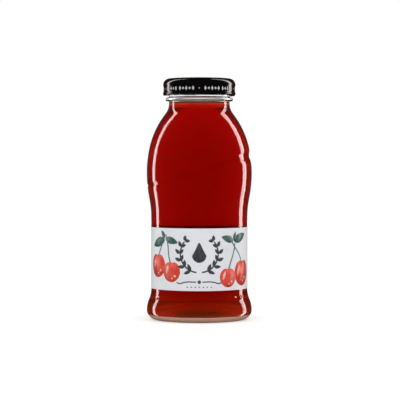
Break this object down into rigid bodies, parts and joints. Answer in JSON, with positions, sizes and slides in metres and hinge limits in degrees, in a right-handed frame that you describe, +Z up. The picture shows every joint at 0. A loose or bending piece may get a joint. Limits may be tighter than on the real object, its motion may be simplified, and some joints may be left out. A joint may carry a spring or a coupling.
{
  "type": "juice bottle",
  "caption": "Small shut glass juice bottle with rounded shoulders, a waisted label panel, a slanted shoulder groove, red juice, a paper wrap label and a black twist-off lid.",
  "frame": {"origin": "middle of the flat ring that the bottle stands on, on the bottle's axis", "axes": "+Z up along the bottle's axis; the front of the label faces -Y; the shoulder groove is widest and highest at +X"},
  "size_m": [0.0588, 0.0588, 0.135],
  "materials": {
    "glass": "polished",
    "juice": "gloss",
    "label_paper": "satin",
    "lid_lacquer": "gloss"
  },
  "bodies": {
    "root": {"glass_bottle": "glass", "juice": "juice", "label": "label_paper", "lid": "lid_lacquer"}
  },
  "joints": []
}
